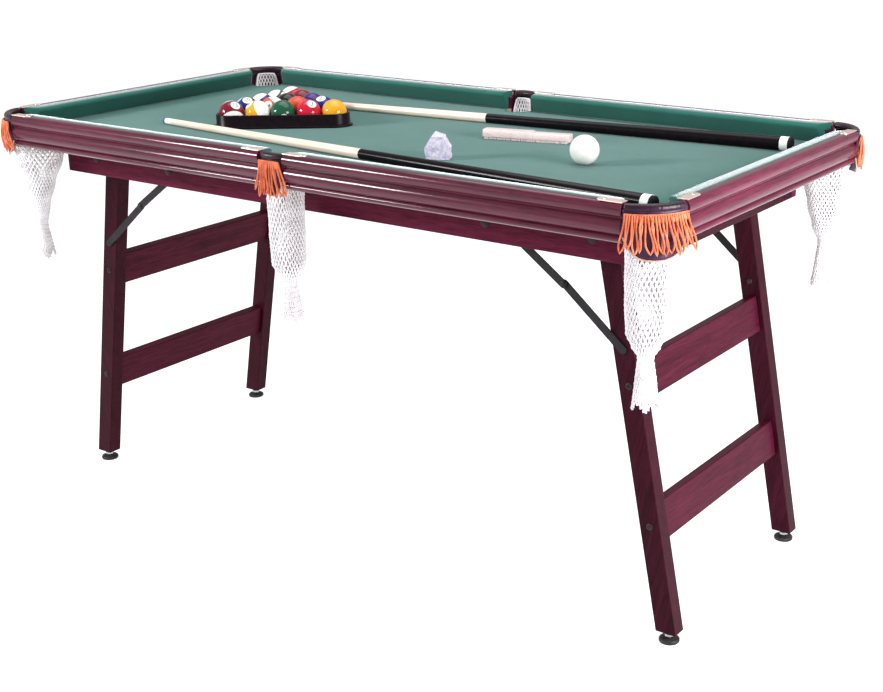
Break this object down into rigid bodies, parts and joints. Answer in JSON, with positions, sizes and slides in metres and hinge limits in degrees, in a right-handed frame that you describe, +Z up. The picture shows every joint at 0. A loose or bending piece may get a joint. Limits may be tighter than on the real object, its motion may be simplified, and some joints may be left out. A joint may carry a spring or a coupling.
{
  "type": "mini pool table",
  "caption": "Folding mini pool table with moulded rails, cloth bed, netted pockets, hinged leg frames with folding stays, levelling feet and a loose game set.",
  "frame": {"origin": "centre of the table on the surface that the levelling feet stand on", "axes": "+X along the length of the table, front long side facing -Y, +Z up"},
  "size_m": [1.5362, 0.8062, 0.8069],
  "materials": {
    "bed_board": "raw fibreboard",
    "bed_cloth": "napped green cloth",
    "cushion_cloth": "green cloth stretched over rubber",
    "rail_wood": "dark cherry grain wrap, satin",
    "apron_wood": "dark cherry grain wrap, satin",
    "leg_wood": "dark cherry grain wrap, satin",
    "pocket_leather": "dark polished leather",
    "net_string": "white knotted string",
    "fringe_thong": "orange thong fringe",
    "plate_metal": "rose gold, brushed",
    "bright_screw": "polished",
    "black_steel": "black, semi-gloss",
    "bright_steel": "zinc plated",
    "stay_steel": "black, satin",
    "leveller_black": "gloss",
    "rack_plastic": "gloss",
    "object_ball": "polished, in sixteen-ball colours",
    "cue_ball": "polished",
    "cue_wood": "pale shaft, black lacquered butt",
    "brush_wood": "pale wood with pale bristles",
    "chalk": "blue chalk in white paper"
  },
  "bodies": {
    "table": {"bed_board": "bed_board", "bed_cloth": "bed_cloth", "cushion_front_left": "cushion_cloth", "cushion_front_right": "cushion_cloth", "cushion_back_left": "cushion_cloth", "cushion_back_right": "cushion_cloth", "cushion_left": "cushion_cloth", "cushion_right": "cushion_cloth", "rail_front_left": "rail_wood", "rail_front_right": "rail_wood", "rail_back_left": "rail_wood", "rail_back_right": "rail_wood", "rail_left": "rail_wood", "rail_right": "rail_wood", "apron_front": "apron_wood", "apron_back": "apron_wood", "apron_left": "apron_wood", "apron_right": "apron_wood", "pocket_front_left": "pocket_leather", "pocket_front_middle": "pocket_leather", "pocket_front_right": "pocket_leather", "pocket_back_left": "pocket_leather", "pocket_back_middle": "pocket_leather", "pocket_back_right": "pocket_leather", "net_front_left": "net_string", "net_front_middle": "net_string", "net_front_right": "net_string", "net_back_left": "net_string", "net_back_middle": "net_string", "net_back_right": "net_string", "pocket_fringes": "fringe_thong", "pocket_plates": "plate_metal", "plate_screws": "bright_screw", "apron_bolts": "black_steel", "pivot_spacers": "bright_steel"},
    "left_leg": {"left_leg_front_post": "leg_wood", "left_leg_back_post": "leg_wood", "left_upper_crossbar": "leg_wood", "left_lower_crossbar": "leg_wood", "left_leg_fasteners": "black_steel"},
    "right_leg": {"right_leg_front_post": "leg_wood", "right_leg_back_post": "leg_wood", "right_upper_crossbar": "leg_wood", "right_lower_crossbar": "leg_wood", "right_leg_fasteners": "black_steel"},
    "left_upper_stays": {"left_upper_stays": "stay_steel"},
    "left_lower_stays": {"left_lower_stays": "stay_steel"},
    "right_upper_stays": {"right_upper_stays": "stay_steel"},
    "right_lower_stays": {"right_lower_stays": "stay_steel"},
    "leveller_front_left": {"leveller_front_left": "leveller_black"},
    "leveller_back_left": {"leveller_back_left": "leveller_black"},
    "leveller_front_right": {"leveller_front_right": "leveller_black"},
    "leveller_back_right": {"leveller_back_right": "leveller_black"},
    "ball_rack": {"ball_rack": "rack_plastic"},
    "object_balls": {"object_balls": "object_ball"},
    "cue_ball": {"cue_ball": "cue_ball"},
    "front_cue": {"front_cue": "cue_wood"},
    "back_cue": {"back_cue": "cue_wood"},
    "table_brush": {"table_brush": "brush_wood"},
    "chalk_cubes": {"chalk_cubes": "chalk"}
  },
  "joints": [
    {"name": "left_leg_fold", "type": "hinge", "parent": "table", "child": "left_leg", "pos_m": [-0.577, 0, 0.699], "axis": [0, -1, 0], "range_deg": [0, 100.9]},
    {"name": "left_upper_stay_turn", "type": "hinge", "parent": "table", "child": "left_upper_stays", "pos_m": [-0.372, 0, 0.697], "axis": [0, 1, 0], "range_deg": [0, 32.86]},
    {"name": "left_lower_stay_turn", "type": "hinge", "parent": "left_leg", "child": "left_lower_stays", "pos_m": [-0.61301, 0, 0.512], "axis": [0, -1, 0], "range_deg": [0, 42.63]},
    {"name": "right_leg_fold", "type": "hinge", "parent": "table", "child": "right_leg", "pos_m": [0.577, 0, 0.699], "axis": [0, 1, 0], "range_deg": [0, 95.3]},
    {"name": "right_upper_stay_turn", "type": "hinge", "parent": "table", "child": "right_upper_stays", "pos_m": [0.372, 0, 0.697], "axis": [0, -1, 0], "range_deg": [0, 35.54]},
    {"name": "right_lower_stay_turn", "type": "hinge", "parent": "right_leg", "child": "right_lower_stays", "pos_m": [0.61301, 0, 0.512], "axis": [0, 1, 0], "range_deg": [0, 37.91]},
    {"name": "leveller_front_left_screw", "type": "slide", "parent": "left_leg", "child": "leveller_front_left", "axis": [0, 0, -1], "range_m": [0, 0.012]},
    {"name": "leveller_back_left_screw", "type": "slide", "parent": "left_leg", "child": "leveller_back_left", "axis": [0, 0, -1], "range_m": [0, 0.012]},
    {"name": "leveller_front_right_screw", "type": "slide", "parent": "right_leg", "child": "leveller_front_right", "axis": [0, 0, -1], "range_m": [0, 0.012]},
    {"name": "leveller_back_right_screw", "type": "slide", "parent": "right_leg", "child": "leveller_back_right", "axis": [0, 0, -1], "range_m": [0, 0.012]},
    {"name": "ball_rack_lift", "type": "slide", "parent": "table", "child": "ball_rack", "axis": [0, 0, 1], "range_m": [0, 0.25]},
    {"name": "object_balls_lift", "type": "slide", "parent": "table", "child": "object_balls", "axis": [0, 0, 1], "range_m": [0, 0.25]},
    {"name": "cue_ball_lift", "type": "slide", "parent": "table", "child": "cue_ball", "axis": [0, 0, 1], "range_m": [0, 0.25]},
    {"name": "front_cue_lift", "type": "slide", "parent": "table", "child": "front_cue", "axis": [0, 0, 1], "range_m": [0, 0.25]},
    {"name": "back_cue_lift", "type": "slide", "parent": "table", "child": "back_cue", "axis": [0, 0, 1], "range_m": [0, 0.25]},
    {"name": "table_brush_lift", "type": "slide", "parent": "table", "child": "table_brush", "axis": [0, 0, 1], "range_m": [0, 0.25]},
    {"name": "chalk_cubes_lift", "type": "slide", "parent": "table", "child": "chalk_cubes", "axis": [0, 0, 1], "range_m": [0, 0.25]}
  ],
  "couplings": [
    {"joint": "left_upper_stay_turn", "follows": "left_leg_fold", "ratio": 0.32558},
    {"joint": "left_lower_stay_turn", "follows": "left_leg_fold", "ratio": 0.42236},
    {"joint": "right_upper_stay_turn", "follows": "right_leg_fold", "ratio": 0.37282},
    {"joint": "right_lower_stay_turn", "follows": "right_leg_fold", "ratio": 0.3977}
  ]
}
